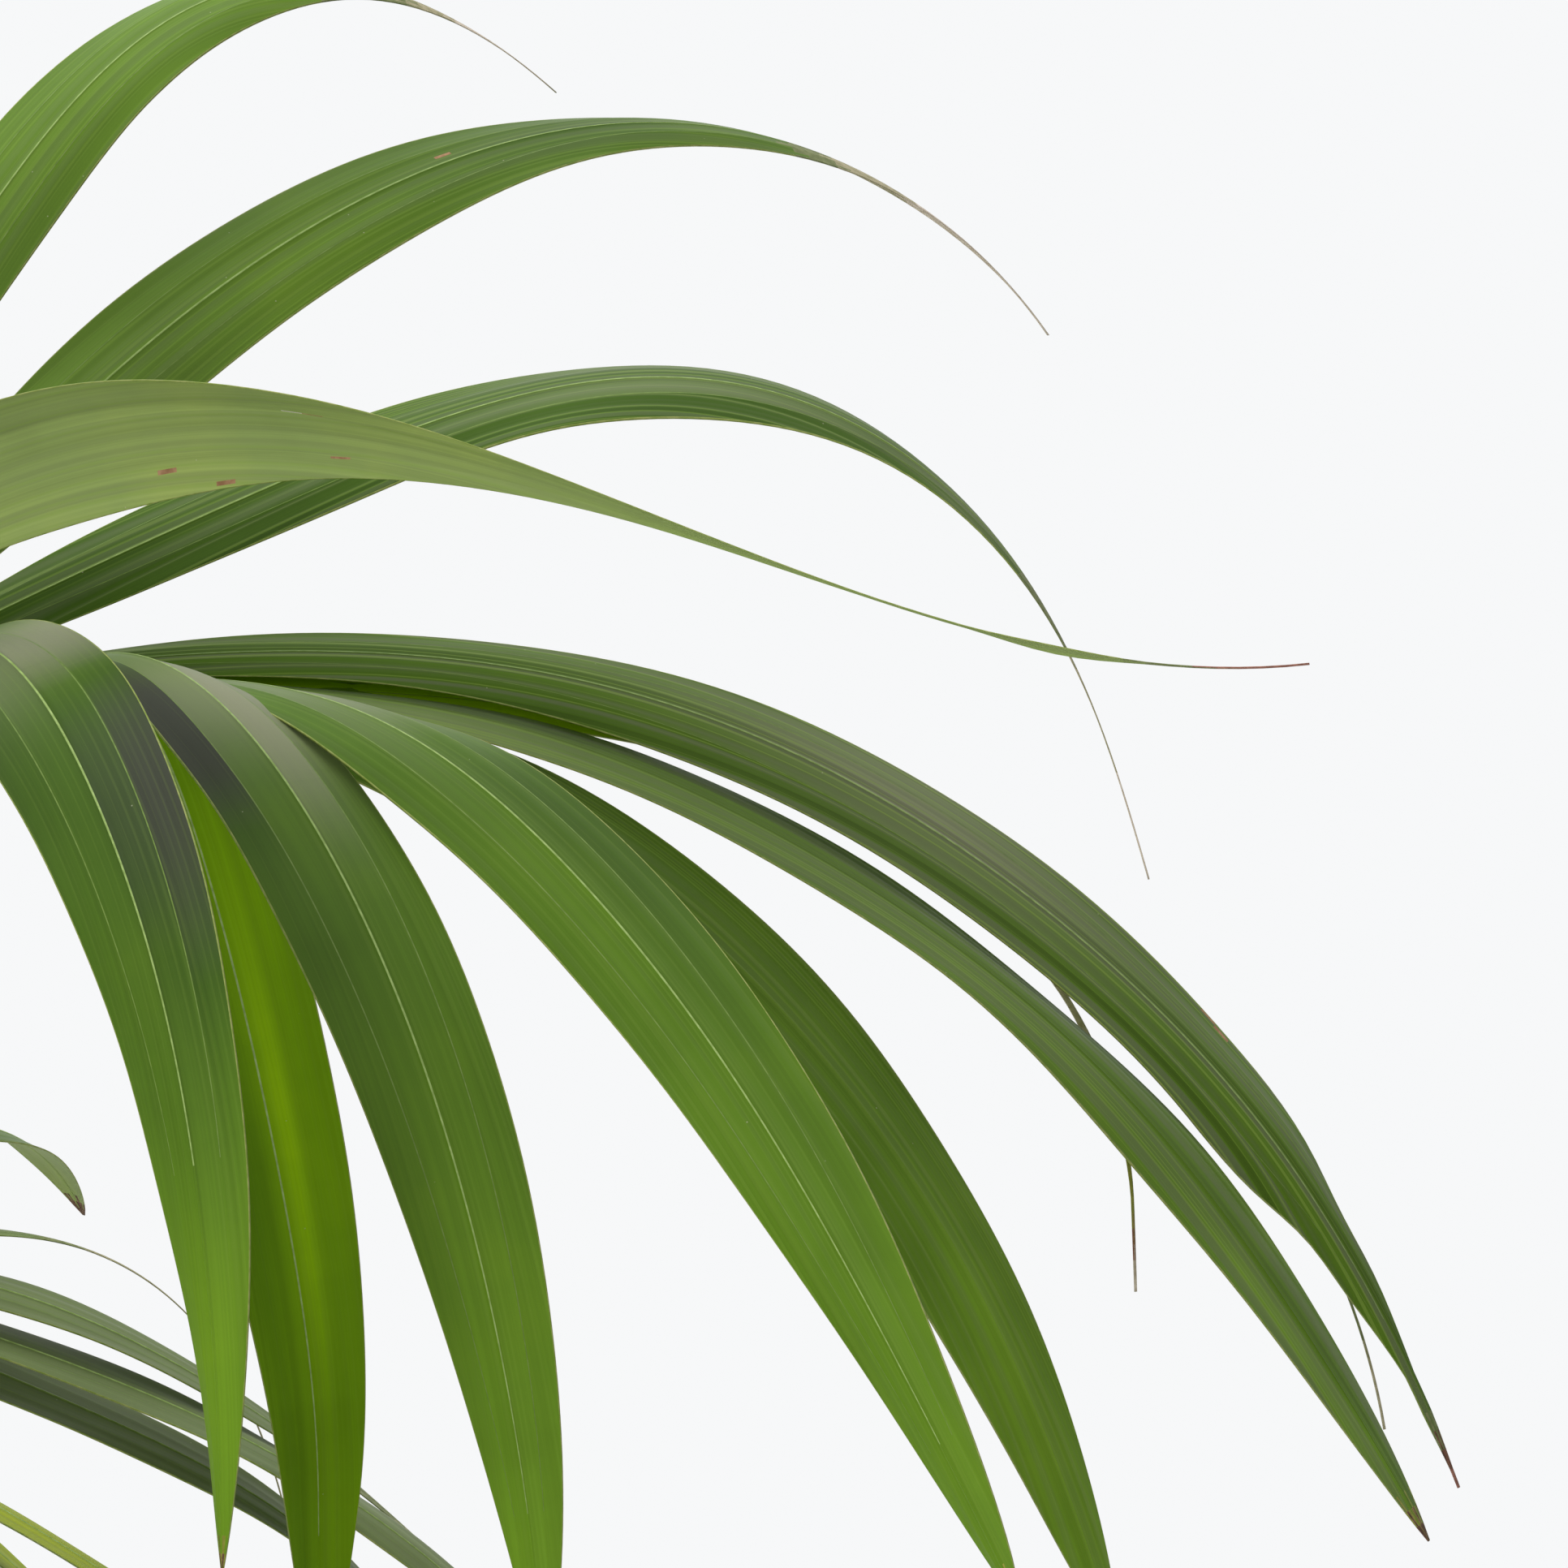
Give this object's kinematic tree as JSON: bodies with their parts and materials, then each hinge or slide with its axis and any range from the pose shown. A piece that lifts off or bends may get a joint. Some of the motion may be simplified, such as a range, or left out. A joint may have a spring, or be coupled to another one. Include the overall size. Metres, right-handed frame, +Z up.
{
  "type": "potted kentia palm",
  "caption": "Potted kentia palm: a clump of short ringed stems carrying arching feather-shaped fronds with long drooping leaflets, in a plain tapered round pot with a flat base.",
  "frame": {"origin": "centre of the pot's flat underside, where the plant stands", "axes": "+Z up; +X towards the frond that reaches out lowest over the viewer's right when looked at along +Y"},
  "size_m": [1.6531, 1.468, 1.5994],
  "materials": {
    "pot": "matte",
    "soil": "matte",
    "stem": "matte",
    "stalk": "satin",
    "frond": "satin"
  },
  "bodies": {
    "root": {"pot": "pot", "soil": "soil", "stem_right": "stem", "stem_front": "stem", "stem_back": "stem", "spear": "stalk", "stalk_right": "stalk", "stalk_back_right": "stalk", "stalk_low_right": "stalk", "stalk_front_right": "stalk", "stalk_front_left": "stalk", "stalk_left": "stalk", "stalk_low_left": "stalk", "stalk_back_left": "stalk", "stalk_back": "stalk", "stalk_low_back": "stalk", "stalk_top_left": "stalk", "stalk_top_front": "stalk", "frond_right": "frond", "frond_back_right": "frond", "frond_low_right": "frond", "frond_front_right": "frond", "frond_front_left": "frond", "frond_left": "frond", "frond_low_left": "frond", "frond_back_left": "frond", "frond_back": "frond", "frond_low_back": "frond", "frond_top_left": "frond", "frond_top_front": "frond"}
  },
  "joints": []
}
